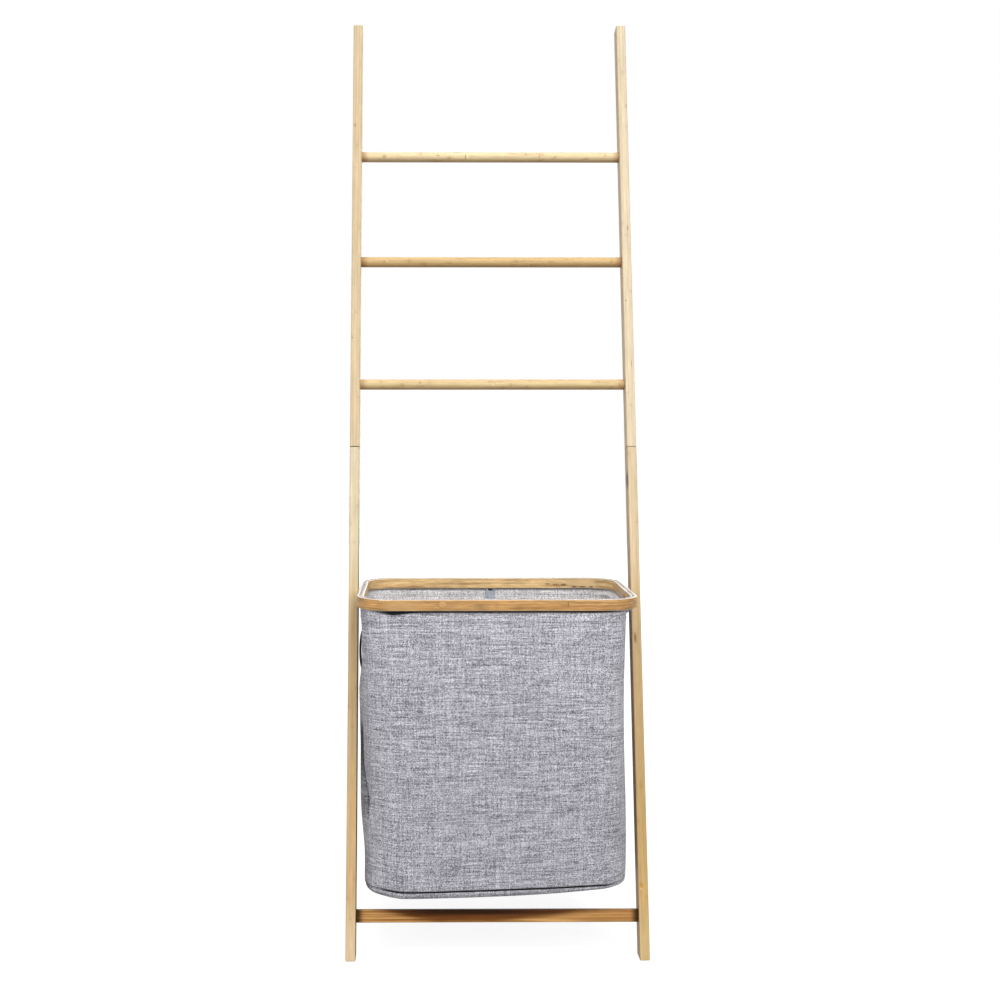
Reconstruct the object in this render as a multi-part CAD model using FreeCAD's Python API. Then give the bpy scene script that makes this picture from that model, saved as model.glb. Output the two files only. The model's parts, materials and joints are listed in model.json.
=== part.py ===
import FreeCAD, Part
import math
import os
from FreeCAD import Vector

os.makedirs("parts", exist_ok=True)

# Driving dimensions, in millimetres and degrees

# The ladder as a whole: it leans back against a wall, and its feet are cut level
overall_width = 496.0
rail_length = 1640.0
lean_angle = 13.0

# Rails: heights are measured along the rail, from the front edge of the foot
rail_width = 16.5
rail_depth = 30.0
rail_edge_radius = 2.0
rail_end_chamfer = 0.6
foot_edge_radius = 1.5
splice_height = 855.0
splice_chamfer = 0.8

# Round towel rungs, spread over the upper rails
rung_diameter = 18.0
rung_end_chamfer = 0.6
rung_seat_depth = 4.0
rung_seat_clearance = 0.1
top_rung_below_end = 249.0
lower_rung_above_splice = 114.0
middle_rung_share = 0.531

# Flat bottom stretcher
stretcher_height = 71.0
stretcher_tall = 20.0
stretcher_deep = 16.0
stretcher_edge_radius = 2.0
stretcher_seat_depth = 4.0
stretcher_seat_clearance = 0.1

# Wood screws that hold the rungs and the stretcher from outside the rails
screw_diameter = 4.2
screw_length = 42.0
screw_tip_length = 5.0
screw_head_diameter = 8.4
screw_head_height = 2.5
screw_recess_span = 4.4
screw_recess_width = 1.2
screw_recess_depth = 1.4
screw_hole_clearance = 0.1

# Stud and threaded inserts in the rail ends at the splice
stud_diameter = 6.0
stud_length = 44.0
stud_end_chamfer = 0.6
insert_diameter = 9.5
insert_length = 24.0
insert_rim_height = 1.2
insert_rim_width = 0.9
insert_recess = 0.2
insert_hole_clearance = 0.1
thread_clearance = 0.05

# Rubber pads under the feet and behind the tops of the rails
foot_pad_width = 11.0
foot_pad_depth = 22.0
foot_pad_thickness = 2.6
foot_pad_stand = 1.0
foot_pad_corner_radius = 1.5
foot_pad_clearance = 0.1
wall_pad_diameter = 11.0
wall_pad_thickness = 2.6
wall_pad_chamfer = 0.7
wall_pad_inset = 3.5

# Bent hoop that carries the bag, level, between the rails
pivot_height = 602.0
hoop_depth = 300.0
hoop_tall = 18.0
hoop_corner_radius = 58.0
hoop_edge_radius = 1.2
outer_hoop_thickness = 4.5
inner_hoop_thickness = 4.0

# Small screws that clamp the two bands of the hoop on the hem
hoop_screw_diameter = 2.5
hoop_screw_length = 9.0
hoop_screw_head_diameter = 5.0
hoop_screw_head_height = 1.3
hoop_screw_spread = 70.0
hoop_screw_clearance = 0.05

# Bag: its top is the hoop's, its base is drawn in and hangs just over the stretcher
cloth_thickness = 2.3
hem_clearance = 0.1
hem_top_drop = 0.8
bag_above_stretcher = 25.85
bag_side_taper = 11.0
bag_end_taper = 7.4
bag_base_corner_radius = 44.0
bag_base_edge_radius = 16.0
bag_seam_height = 9.0
gusset_wrap = 4.0

# Webbing handles on the bag's sides
handle_width = 25.0
handle_thickness = 1.6
handle_tab_length = 18.0
handle_grip_length = 66.0
handle_bulge = 4.0
handle_top_drop = 34.0
handle_gap = 0.3

# Plain tab inside the back of the bag
tab_width = 16.0
tab_length = 28.0
tab_thickness = 0.9
tab_gap = 0.3

# Pivot hardware, one set at each rail: a bolt, a spacer, and a sleeve nut that sits flush in the hoop
bolt_diameter = 6.0
bolt_head_diameter = 11.5
bolt_head_height = 3.2
bolt_socket_across = 4.0
bolt_socket_depth = 2.4
bolt_hole_clearance = 0.08
bolt_end_gap = 0.4
spacer_diameter = 18.0
spacer_thickness = 1.6
sleeve_diameter = 9.0
sleeve_head_diameter = 13.0
sleeve_head_height = 2.0
sleeve_socket_across = 4.0
sleeve_socket_depth = 1.6
sleeve_web = 1.3
running_gap = 0.3

# How far cutting shapes run past what they cut, and how closely places are compared
cut_overrun = 20.0
place_tolerance = 0.001
parallel_share = 0.999
hexagon_sides = 6

# Directions

across = Vector(1, 0, 0)
backward = Vector(0, 1, 0)
upward = Vector(0, 0, 1)
quarter_turn = math.pi / 2

# Places worked out from the driving dimensions

lean = math.radians(lean_angle)
half_width = overall_width / 2
rail_inner = half_width - rail_width
rail_middle = rail_depth / 2
rail_axis = rail_inner + rail_width / 2
hem_outset = outer_hoop_thickness + hem_clearance
hoop_thickness = hem_outset + cloth_thickness + hem_clearance + inner_hoop_thickness
hoop_half_width = rail_inner - spacer_thickness - running_gap
bag_half_width = hoop_half_width - hem_outset
bag_half_depth = hoop_depth / 2 - hem_outset
base_half_width = bag_half_width - bag_side_taper
base_half_depth = bag_half_depth - bag_end_taper


def leaning(depth, height):
    """Y and Z of a point, from its depth behind the rails' front and its height along them."""
    y = depth * math.cos(lean) + height * math.sin(lean)
    z = height * math.cos(lean) - depth * math.sin(lean)
    return y, z


pivot_y, pivot_z = leaning(rail_middle, pivot_height)
hoop_bottom = pivot_z - hoop_tall / 2
hoop_top = pivot_z + hoop_tall / 2
stretcher_top = leaning(rail_middle - stretcher_deep / 2, stretcher_height + stretcher_tall / 2)[1]
bag_bottom = stretcher_top + bag_above_stretcher
bag_seam = bag_bottom + bag_seam_height
bag_drop = hoop_bottom - bag_bottom
foot_middle_y = rail_middle / math.cos(lean)
wall_pad_top = rail_length - wall_pad_inset
wall_y = leaning(rail_depth + wall_pad_thickness, wall_pad_top - wall_pad_chamfer)[0]
front_y = min(pivot_y - hoop_depth / 2, foot_pad_stand * math.tan(lean))
middle_y = (front_y + wall_y) / 2

top_rung_height = rail_length - top_rung_below_end
lower_rung_height = splice_height + lower_rung_above_splice
middle_rung_height = lower_rung_height + middle_rung_share * (top_rung_height - lower_rung_height)
rung_heights = {
    "top_towel_rung": top_rung_height,
    "middle_towel_rung": middle_rung_height,
    "lower_towel_rung": lower_rung_height,
}


# Helpers

def lean_back(shape):
    """Tips a shape that was made on upright rails back to the lean."""
    tipped = shape.copy()
    tipped.rotate(Vector(0, 0, 0), across, -lean_angle)
    return tipped


def mirrored(shape):
    """The same shape on the other side of the ladder."""
    return shape.mirror(Vector(0, 0, 0), across)


def both_sides(shape):
    return [shape, mirrored(shape)]


def rod(diameter, start, direction, length):
    return Part.makeCylinder(diameter / 2, length, start, direction)


def block(low, high):
    return Part.makeBox(high.x - low.x, high.y - low.y, high.z - low.z, low)


def edges_along(shape, direction):
    """The straight edges of a shape that run one way."""
    found = []
    for edge in shape.Edges:
        run = edge.Vertexes[-1].Point - edge.Vertexes[0].Point
        if abs(run.dot(direction)) > parallel_share * run.Length > 0:
            found.append(edge)
    return found


def edges_at(shape, direction, distance):
    """The edges of a shape that lie wholly at one distance along a direction."""
    found = []
    for edge in shape.Edges:
        points = edge.discretize(Number=5)
        if all(abs(point.dot(direction) - distance) < place_tolerance for point in points):
            found.append(edge)
    return found


def countersunk(place, head_diameter, head_height, shank_diameter, length, clearance):
    """A flush head and its shank along +X, or with a clearance the room that they need."""
    head = Part.makeCone(
        head_diameter / 2 + clearance, shank_diameter / 2 + clearance, head_height, place, across
    )
    shank = rod(shank_diameter + 2 * clearance, place, across, length + clearance)
    return head.fuse(shank).removeSplitter()


def hexagonal_bar(start, across_flats, length):
    """A six-sided bar along +X."""
    corner = backward * (across_flats / 2 / math.cos(math.pi / hexagon_sides))
    points = []
    for side in range(hexagon_sides):
        turn = FreeCAD.Rotation(across, 360 / hexagon_sides * side)
        points.append(start + turn.multVec(corner))
    return Part.Face(Part.makePolygon(points + points[:1])).extrude(across * length)


def rounded_loop(half_x, half_y, radius, height):
    """A level outline with four round corners, centred on the pivot line."""
    arcs = []
    for side_x, side_y, turn in ((1, -1, -1), (1, 1, 0), (-1, 1, 1), (-1, -1, 2)):
        centre = Vector(side_x * (half_x - radius), pivot_y + side_y * (half_y - radius), height)
        points = []
        for part_share in (0, 0.5, 1):
            angle = quarter_turn * (turn + part_share)
            points.append(centre + Vector(math.cos(angle), math.sin(angle), 0) * radius)
        arcs.append(Part.Arc(*points))
    edges = []
    for index, arc in enumerate(arcs):
        following = arcs[(index + 1) % len(arcs)]
        edges.append(arc.toShape())
        edges.append(Part.makeLine(arc.EndPoint, following.StartPoint))
    return Part.Wire(edges)


# Rails, made upright on the left and then leaned

def rail_bar(low, high):
    """A length of rail with its four long edges eased."""
    bar = block(Vector(-half_width, 0, low), Vector(-rail_inner, rail_depth, high))
    return bar.makeFillet(rail_edge_radius, edges_along(bar, upward))


def on_rail(height):
    """The place on the left rail's outer face where a fastener goes in."""
    return Vector(-half_width, rail_middle, height)


def wood_screw_room(height):
    return countersunk(
        on_rail(height),
        screw_head_diameter,
        screw_head_height,
        screw_diameter,
        screw_length,
        screw_hole_clearance,
    )


def rung_seat(height):
    start = Vector(-rail_inner - rung_seat_depth, rail_middle, height)
    diameter = rung_diameter + 2 * rung_seat_clearance
    return rod(diameter, start, across, rung_seat_depth + cut_overrun)


def stretcher_bar(half_length, clearance):
    """The stretcher's bar, or with a clearance the shape of its seats."""
    half_deep = stretcher_deep / 2 + clearance
    half_tall = stretcher_tall / 2 + clearance
    bar = block(
        Vector(-half_length, rail_middle - half_deep, stretcher_height - half_tall),
        Vector(half_length, rail_middle + half_deep, stretcher_height + half_tall),
    )
    return bar.makeFillet(stretcher_edge_radius + clearance, edges_along(bar, across))


def splice_room(direction):
    """The hole in a rail's end that takes an insert and its rim."""
    start = Vector(-rail_axis, rail_middle, splice_height)
    diameter = insert_diameter + 2 * insert_hole_clearance
    rim_diameter = diameter + 2 * insert_rim_width
    hole = rod(diameter, start, direction, insert_recess + insert_length + insert_hole_clearance)
    rim = rod(rim_diameter, start, direction, insert_recess + insert_rim_height + insert_hole_clearance)
    return hole.fuse(rim)


def foot_pad_block(clearance, low):
    """The pad under the left foot, or with a clearance its pocket."""
    half_x = foot_pad_width / 2 + clearance
    half_y = foot_pad_depth / 2 + clearance
    pad = block(
        Vector(-rail_axis - half_x, foot_middle_y - half_y, low),
        Vector(-rail_axis + half_x, foot_middle_y + half_y, foot_pad_thickness),
    )
    return pad.makeFillet(foot_pad_corner_radius + clearance, edges_along(pad, upward))


def left_lower_rail():
    rail = rail_bar(-rail_depth, splice_height)
    rail = rail.makeChamfer(splice_chamfer, edges_at(rail, upward, splice_height))
    seat = stretcher_bar(rail_inner + stretcher_seat_depth, stretcher_seat_clearance)
    rail = rail.cut([seat, splice_room(-upward), wood_screw_room(stretcher_height), pivot_bolt_room()])
    below_foot = block(
        Vector(-overall_width, -overall_width, -overall_width),
        Vector(0, overall_width, foot_pad_stand),
    )
    rail = lean_back(rail).cut(below_foot)
    rail = rail.makeFillet(foot_edge_radius, edges_at(rail, upward, foot_pad_stand))
    return rail.cut(foot_pad_block(foot_pad_clearance, -cut_overrun))


def left_upper_rail():
    rail = rail_bar(splice_height, rail_length)
    rail = rail.makeChamfer(splice_chamfer, edges_at(rail, upward, splice_height))
    rail = rail.makeChamfer(rail_end_chamfer, edges_at(rail, upward, rail_length))
    rooms = [splice_room(upward)]
    for height in rung_heights.values():
        rooms.append(rung_seat(height))
        rooms.append(wood_screw_room(height))
    return lean_back(rail.cut(rooms))


# Rungs, stretcher and the screws that hold them

def towel_rung(height):
    half_length = rail_inner + rung_seat_depth
    bar = rod(rung_diameter, Vector(-half_length, rail_middle, height), across, 2 * half_length)
    ends = edges_at(bar, across, -half_length) + edges_at(bar, across, half_length)
    bar = bar.makeChamfer(rung_end_chamfer, ends)
    return lean_back(bar.cut(both_sides(wood_screw_room(height))))


def bottom_stretcher():
    bar = stretcher_bar(rail_inner + stretcher_seat_depth, 0)
    return lean_back(bar.cut(both_sides(wood_screw_room(stretcher_height))))


def wood_screw(height):
    """A pointed screw with a cross recess, flush with the left rail's outer face."""
    place = on_rail(height)
    straight_length = screw_length - screw_tip_length
    screw = countersunk(
        place, screw_head_diameter, screw_head_height, screw_diameter, straight_length, 0
    )
    tip = Part.makeCone(screw_diameter / 2, 0, screw_tip_length, place + across * straight_length, across)
    slots = []
    for half_y, half_z in (
        (screw_recess_span / 2, screw_recess_width / 2),
        (screw_recess_width / 2, screw_recess_span / 2),
    ):
        slots.append(block(
            place + Vector(-cut_overrun, -half_y, -half_z),
            place + Vector(screw_recess_depth, half_y, half_z),
        ))
    return lean_back(screw.fuse(tip).removeSplitter().cut(slots))


def wood_screws(heights):
    screws = []
    for height in heights:
        screws.extend(both_sides(wood_screw(height)))
    return screws


# Splice hardware

def splice_insert(direction):
    """A threaded sleeve with a rim, set a little below the rail's end."""
    start = Vector(-rail_axis, rail_middle, splice_height) + direction * insert_recess
    sleeve = rod(insert_diameter, start, direction, insert_length)
    rim = rod(insert_diameter + 2 * insert_rim_width, start, direction, insert_rim_height)
    thread_diameter = stud_diameter + 2 * thread_clearance
    thread_start = start - direction * cut_overrun
    thread = rod(thread_diameter, thread_start, direction, insert_length + 2 * cut_overrun)
    return lean_back(sleeve.fuse(rim).removeSplitter().cut(thread))


def splice_stud():
    low = splice_height - stud_length / 2
    stud = rod(stud_diameter, Vector(-rail_axis, rail_middle, low), upward, stud_length)
    ends = edges_at(stud, upward, low) + edges_at(stud, upward, low + stud_length)
    return lean_back(stud.makeChamfer(stud_end_chamfer, ends))


# Rubber pad behind the top of the left rail

def wall_pad():
    centre = Vector(-rail_axis, rail_depth, wall_pad_top - wall_pad_diameter / 2)
    pad = rod(wall_pad_diameter, centre, backward, wall_pad_thickness)
    rim = edges_at(pad, backward, rail_depth + wall_pad_thickness)
    return lean_back(pad.makeChamfer(wall_pad_chamfer, rim))


# Pivot hardware: the bolt and the spacer at the left rail, the sleeve nut in the hoop's right side

sleeve_length = hoop_thickness + running_gap
sleeve_bore_depth = sleeve_length - sleeve_socket_depth - sleeve_web
bolt_length = rail_width + spacer_thickness + sleeve_bore_depth - bolt_end_gap


def pivot_bolt_room():
    return countersunk(
        on_rail(pivot_height),
        bolt_head_diameter,
        bolt_head_height,
        bolt_diameter,
        bolt_length,
        bolt_hole_clearance,
    )


def pivot_bolt():
    place = on_rail(pivot_height)
    bolt = countersunk(
        place, bolt_head_diameter, bolt_head_height, bolt_diameter, bolt_length, 0
    )
    socket_start = place - across * cut_overrun
    socket = hexagonal_bar(socket_start, bolt_socket_across, cut_overrun + bolt_socket_depth)
    return lean_back(bolt.cut(socket))


def pivot_spacer():
    """A plain ring on the bolt, between the rail and the hoop."""
    start = Vector(-rail_inner, rail_middle, pivot_height)
    ring = rod(spacer_diameter, start, across, spacer_thickness)
    return lean_back(ring.cut(pivot_bolt_room()))


def in_hoop_side(spread):
    """A place on the inner face of the hoop's right side, ahead of the pivot line or behind it."""
    return Vector(hoop_half_width - hoop_thickness, pivot_y + spread, pivot_z)


def sleeve_form(clearance):
    """The outside of the sleeve nut, or with a clearance the room that it turns in."""
    return countersunk(
        in_hoop_side(0),
        sleeve_head_diameter,
        sleeve_head_height,
        sleeve_diameter,
        sleeve_length,
        clearance,
    )


def sleeve_nut():
    """A flush nut whose neck meets the spacer, so that the hoop turns freely on it."""
    place = in_hoop_side(0)
    socket_start = place - across * cut_overrun
    socket = hexagonal_bar(socket_start, sleeve_socket_across, cut_overrun + sleeve_socket_depth)
    bore_start = place + across * (sleeve_length - sleeve_bore_depth)
    bore = rod(bolt_diameter + 2 * thread_clearance, bore_start, across, sleeve_bore_depth + cut_overrun)
    return sleeve_form(0).cut([socket, bore])


# Hoop, level on the pivot line

def level_band(outset, thickness, low, high):
    """A band with the hoop's shape, its outside set in from the hoop's outside."""
    faces = []
    for inset in (outset, outset + thickness):
        loop = rounded_loop(
            hoop_half_width - inset, hoop_depth / 2 - inset, hoop_corner_radius - inset, low
        )
        faces.append(Part.Face(loop).extrude(upward * (high - low)))
    return faces[0].cut(faces[1])


def hoop_screws(clearance):
    """Small screws from inside the hoop's sides, or with a clearance the room that they need."""
    screws = []
    for spread in (-hoop_screw_spread, hoop_screw_spread):
        screws.extend(both_sides(countersunk(
            in_hoop_side(spread),
            hoop_screw_head_diameter,
            hoop_screw_head_height,
            hoop_screw_diameter,
            hoop_screw_length,
            clearance,
        )))
    return screws


def pierced(band):
    """A band of the hoop with holes for the sleeve nuts and the small screws."""
    return band.cut(both_sides(sleeve_form(bolt_hole_clearance)) + hoop_screws(hoop_screw_clearance))


def hoop_band(outset, thickness):
    band = level_band(outset, thickness, hoop_bottom, hoop_top)
    rims = edges_at(band, upward, hoop_bottom) + edges_at(band, upward, hoop_top)
    return pierced(band.makeFillet(hoop_edge_radius, rims))


def bag_hem():
    return pierced(level_band(hem_outset, cloth_thickness, hoop_bottom, hoop_top - hem_top_drop))


# Bag: one sewn shell of a flat front and back, gussets that wrap the corners, and a base

def bag_form(inset):
    """A solid of the bag's outside, or of its inside when set in by the cloth."""
    low = bag_bottom + inset
    top_loop = rounded_loop(
        bag_half_width - inset, bag_half_depth - inset, hoop_corner_radius - hem_outset - inset, hoop_bottom
    )
    base_loop = rounded_loop(
        base_half_width - inset, base_half_depth - inset, bag_base_corner_radius - inset, low
    )
    form = Part.makeLoft([base_loop, top_loop], True, True)
    return form.makeFillet(bag_base_edge_radius - inset, edges_at(form, upward, low))


bag_shell = bag_form(0).cut(bag_form(cloth_thickness))
gusset_x = min(hoop_half_width - hoop_corner_radius, base_half_width - bag_base_corner_radius) - gusset_wrap
ahead_y = pivot_y - hoop_depth
behind_y = pivot_y + hoop_depth


def bag_panel(low_x, high_x, low_y, high_y):
    """One wall of the bag, above the bottom seam."""
    room = block(Vector(low_x, low_y, bag_seam), Vector(high_x, high_y, hoop_bottom + cut_overrun))
    return bag_shell.common(room)


def bag_base():
    below_seam = block(
        Vector(-hoop_half_width, ahead_y, bag_bottom - cut_overrun),
        Vector(hoop_half_width, behind_y, bag_seam),
    )
    return bag_shell.common(below_seam)


# What is sewn to the bag

def side_handle():
    """A flat strap sewn down at both ends, with its grip standing off the bag's left side."""
    down = Vector(bag_side_taper, 0, -bag_drop)
    down.normalize()
    out = Vector(down.z, 0, -down.x)
    top = Vector(-bag_half_width, pivot_y - handle_width / 2, hoop_bottom)
    start = top + down * handle_top_drop + out * handle_gap
    grip_end = handle_tab_length + handle_grip_length
    length = grip_end + handle_tab_length
    lines = []
    for away in (0, handle_thickness):
        corners = [
            start + down * along + out * away
            for along in (0, handle_tab_length, grip_end, length)
        ]
        crown = start + down * (length / 2) + out * (away + handle_bulge)
        lines.append(Part.makeLine(corners[0], corners[1]))
        lines.append(Part.Arc(corners[1], crown, corners[2]).toShape())
        lines.append(Part.makeLine(corners[2], corners[3]))
    for along in (0, length):
        edge_start = start + down * along
        lines.append(Part.makeLine(edge_start, edge_start + out * handle_thickness))
    outline = Part.Wire(Part.sortEdges(lines)[0])
    return Part.Face(outline).extrude(backward * handle_width)


def inner_tab():
    """A plain strip against the inside of the back panel, under the hem."""
    lean_in_share = bag_end_taper / bag_drop
    back = pivot_y + bag_half_depth - cloth_thickness - tab_gap - tab_length * lean_in_share
    return block(
        Vector(-tab_width / 2, back - tab_thickness, hoop_bottom - tab_length),
        Vector(tab_width / 2, back, hoop_bottom),
    )


# All pieces by name

lower_rail = left_lower_rail()
upper_rail = left_upper_rail()
foot_pad = foot_pad_block(0, 0)
handle = side_handle()

pieces = {
    "left_lower_rail": [lower_rail],
    "right_lower_rail": [mirrored(lower_rail)],
    "left_upper_rail": [upper_rail],
    "right_upper_rail": [mirrored(upper_rail)],
    "bottom_stretcher": [bottom_stretcher()],
    "rung_screws": wood_screws(rung_heights.values()),
    "stretcher_screws": wood_screws([stretcher_height]),
    "splice_studs": both_sides(splice_stud()),
    "splice_inserts": both_sides(splice_insert(upward)) + both_sides(splice_insert(-upward)),
    "left_foot_pad": [foot_pad],
    "right_foot_pad": [mirrored(foot_pad)],
    "wall_pads": both_sides(wall_pad()),
    "pivot_bolts": both_sides(pivot_bolt()),
    "pivot_spacers": both_sides(pivot_spacer()),
    "pivot_sleeve_nuts": both_sides(sleeve_nut()),
    "outer_hoop": [hoop_band(0, outer_hoop_thickness)],
    "inner_hoop": [hoop_band(hoop_thickness - inner_hoop_thickness, inner_hoop_thickness)],
    "hoop_screws": hoop_screws(0),
    "bag_hem": [bag_hem()],
    "bag_front_panel": [bag_panel(-gusset_x, gusset_x, ahead_y, pivot_y)],
    "bag_back_panel": [bag_panel(-gusset_x, gusset_x, pivot_y, behind_y)],
    "bag_left_gusset": [bag_panel(-hoop_half_width, -gusset_x, ahead_y, behind_y)],
    "bag_right_gusset": [bag_panel(gusset_x, hoop_half_width, ahead_y, behind_y)],
    "bag_base_panel": [bag_base()],
    "left_handle": [handle],
    "right_handle": [mirrored(handle)],
    "inner_tab": [inner_tab()],
}
for name, height in rung_heights.items():
    pieces[name] = [towel_rung(height)]

# The origin lies on the floor, under the middle of the whole object
for name, solids in pieces.items():
    piece = solids[0] if len(solids) == 1 else Part.makeCompound(solids)
    piece.translate(backward * -middle_y)
    piece.exportStep("parts/" + name + ".step")

print("pivot line at y", round(pivot_y - middle_y, 3), "z", round(pivot_z, 3))
print("foot middle at x", rail_axis, "y", round(foot_middle_y - middle_y, 3))
print("wall at y", round(wall_y - middle_y, 3), "front at y", round(front_y - middle_y, 3))
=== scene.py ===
import itertools
import json
import math

import bpy
import numpy as np
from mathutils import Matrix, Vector


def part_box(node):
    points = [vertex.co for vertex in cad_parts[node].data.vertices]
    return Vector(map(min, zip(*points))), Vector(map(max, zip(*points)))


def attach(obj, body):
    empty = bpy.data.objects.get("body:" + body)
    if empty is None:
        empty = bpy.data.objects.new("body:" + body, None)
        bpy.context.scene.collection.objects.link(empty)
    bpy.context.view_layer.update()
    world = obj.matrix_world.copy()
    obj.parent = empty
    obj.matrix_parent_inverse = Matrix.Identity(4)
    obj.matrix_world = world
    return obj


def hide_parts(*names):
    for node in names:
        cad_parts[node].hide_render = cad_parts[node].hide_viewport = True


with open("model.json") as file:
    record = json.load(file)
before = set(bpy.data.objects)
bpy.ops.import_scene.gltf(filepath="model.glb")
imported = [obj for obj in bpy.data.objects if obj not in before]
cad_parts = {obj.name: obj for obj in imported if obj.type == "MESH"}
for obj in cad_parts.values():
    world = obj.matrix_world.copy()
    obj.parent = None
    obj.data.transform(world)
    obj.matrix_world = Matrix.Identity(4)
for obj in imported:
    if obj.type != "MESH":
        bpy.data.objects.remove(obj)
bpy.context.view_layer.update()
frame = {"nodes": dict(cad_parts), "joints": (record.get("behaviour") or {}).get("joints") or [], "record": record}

mm = 0.001
rail_depth = 30 * mm

# Places read from the frame, in metres

wall_axis = [m["axis"] for m in frame["record"]["mounts"] if m["name"] == "left_wall_pad"][0]
lean = math.atan2(-wall_axis[2], wall_axis[1])
pivot = Vector(frame["joints"][0]["pos_m"])
hoop_low, hoop_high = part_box("outer_hoop")
hem_low, hem_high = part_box("bag_hem")
hem_half_width = hem_high.x
hem_half_depth = (hem_high.y - hem_low.y) / 2
rim_z = hem_low.z
base_low, base_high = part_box("bag_base_panel")
floor_z = base_low.z
seam_z = base_high.z
stretcher_low, stretcher_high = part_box("bottom_stretcher")
tab_low, tab_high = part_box("inner_tab")
rail_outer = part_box("right_lower_rail")[1].x
rail_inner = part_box("right_upper_rail")[0].x
foot_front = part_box("left_lower_rail")[0].y
splice_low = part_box("left_upper_rail")[0]
splice_back = splice_low.y - foot_front + rail_depth * math.cos(lean)
splice_along = splice_back * math.sin(lean) + splice_low.z * math.cos(lean)

# Camera

camera_pitch = -0.06119
camera_yaw = 0.00818

camera_data = bpy.data.cameras.new("camera")
camera_data.lens = 48.485
camera_data.shift_x = 0.0626
camera = bpy.data.objects.new("camera", camera_data)
camera.location = (-0.11575, -2.3376, 0.8832)
camera.rotation_euler = (math.pi / 2 + camera_pitch, 0, -camera_yaw)
bpy.context.scene.collection.objects.link(camera)
bpy.context.scene.camera = camera


# Material graphs

class Look:
    """One material's nodes, built by short calls that give back sockets. Tones are red, green and blue."""

    def __init__(self, name):
        self.material = bpy.data.materials.new(name)
        self.material.use_nodes = True
        self.tree = self.material.node_tree
        self.shader = self.tree.nodes["Principled BSDF"]
        coordinates = self.add("ShaderNodeTexCoord")
        self.place = coordinates.outputs["Object"]
        self.facing = coordinates.outputs["Normal"]

    def add(self, kind, *values, **settings):
        node = self.tree.nodes.new(kind)
        for key, value in settings.items():
            setattr(node, key, value)
        for socket, value in zip(node.inputs, values):
            self.feed(socket, value)
        return node

    def feed(self, socket, value):
        if isinstance(value, bpy.types.NodeSocket):
            self.tree.links.new(value, socket)
        elif value is not None:
            socket.default_value = (*value, 1.0) if socket.type == "RGBA" else value

    def fill(self, node, **values):
        """Feeds a node's inputs by their names."""
        for name, value in values.items():
            self.feed(node.inputs[name.replace("_", " ").title().replace("Ior", "IOR")], value)
        return node

    def set(self, **values):
        self.fill(self.shader, **values)

    def math(self, operation, first, second=None):
        return self.add("ShaderNodeMath", first, second, operation=operation).outputs[0]

    def plus(self, first, second):
        return self.math("ADD", first, second)

    def times(self, first, second):
        return self.math("MULTIPLY", first, second)

    def total(self, start, *parts):
        """A starting amount plus each value times its weight."""
        for value, weight in parts:
            start = self.plus(start, self.times(value, weight))
        return start

    def away(self, value, centre=0.0):
        """How far a value is from a centre, either way."""
        return self.math("ABSOLUTE", self.plus(value, -centre))

    def ripple(self, value, rate):
        """A row of rounded ridges."""
        return self.math("ABSOLUTE", self.math("SINE", self.times(value, rate)))

    def smooth(self, value, low, high):
        """Rises softly from 0 at low to 1 at high."""
        node = self.add("ShaderNodeMapRange", value, low, high, interpolation_type="SMOOTHSTEP")
        return node.outputs[0]

    def split(self, vector):
        return self.add("ShaderNodeSeparateXYZ", vector).outputs[:3]

    def join(self, x, y, z):
        return self.add("ShaderNodeCombineXYZ", x, y, z).outputs[0]

    def weave(self):
        """The coordinates along and up the cloth, in metres."""
        return self.split(self.add("ShaderNodeUVMap", uv_map="weave").outputs[0])[:2]

    def mix(self, factor, first, second, blend="MIX"):
        node = self.add("ShaderNodeMix", data_type="RGBA", blend_type=blend)
        self.feed(node.inputs[0], factor)
        self.feed(node.inputs[6], first)
        self.feed(node.inputs[7], second)
        return node.outputs[2]

    def stained(self, tone, *stains):
        """A tone with others laid over it: each has its mask, its strength and its tone."""
        for mask, strength, stain in stains:
            tone = self.mix(self.times(mask, strength), tone, stain)
        return tone

    def shade(self, tone, factor):
        """A tone made lighter or darker by a factor."""
        return self.mix(1.0, tone, factor, "MULTIPLY")

    def grain(self, parts, rates, detail=2.0):
        """A noise that changes along each of three parts at its own rate, per metre."""
        scaled = self.join(*(self.times(part, rate) for part, rate in zip(parts, rates)))
        node = self.fill(self.add("ShaderNodeTexNoise"), vector=scaled, scale=1.0, detail=detail)
        return node.outputs["Fac"]

    def chance(self, x, y, z):
        """A fixed random number for each whole x, y, z."""
        return self.add("ShaderNodeTexWhiteNoise", self.join(x, y, z)).outputs["Value"]

    def spot(self, centre, radii):
        """1 at the centre of a soft ellipsoid and 0 outside it."""
        scaled = self.add("ShaderNodeMapping", self.place, centre, None, radii, vector_type="TEXTURE")
        length = self.add("ShaderNodeVectorMath", scaled.outputs[0], operation="LENGTH").outputs["Value"]
        return self.smooth(length, 1.0, 0.25)

    def bump(self, height, distance, strength=1.0):
        node = self.fill(self.add("ShaderNodeBump"), strength=strength, distance=distance, height=height)
        self.set(normal=node.outputs[0])


# Bamboo

white = (1.0, 1.0, 1.0)
fleck_tone = (0.30, 0.165, 0.065)
knot_tone = (0.26, 0.12, 0.04)
char_tone = (0.08, 0.035, 0.012)
# Painted glints: small pale highlights on the rungs
glint_tone = (0.9, 0.8, 0.6)
wood_gloss = 0.2
strip_margin = 0.3 * mm
grain_relief = 0.12 * mm

# Noise rates across, through and along the grain, per metre
streak_rates = (330.0, 330.0, 5.0)
fibre_rates = (1500.0, 1500.0, 26.0)
cloud_rates = (60.0, 60.0, 22.0)
fleck_rates = (2300.0, 2300.0, 100.0)

knuckle_wobble = 6 * mm
knuckle_span = (3.6 * mm, 0.4 * mm)
halo_span = (16 * mm, 2 * mm)
glue_line_span = (0.455, 0.495)


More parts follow.
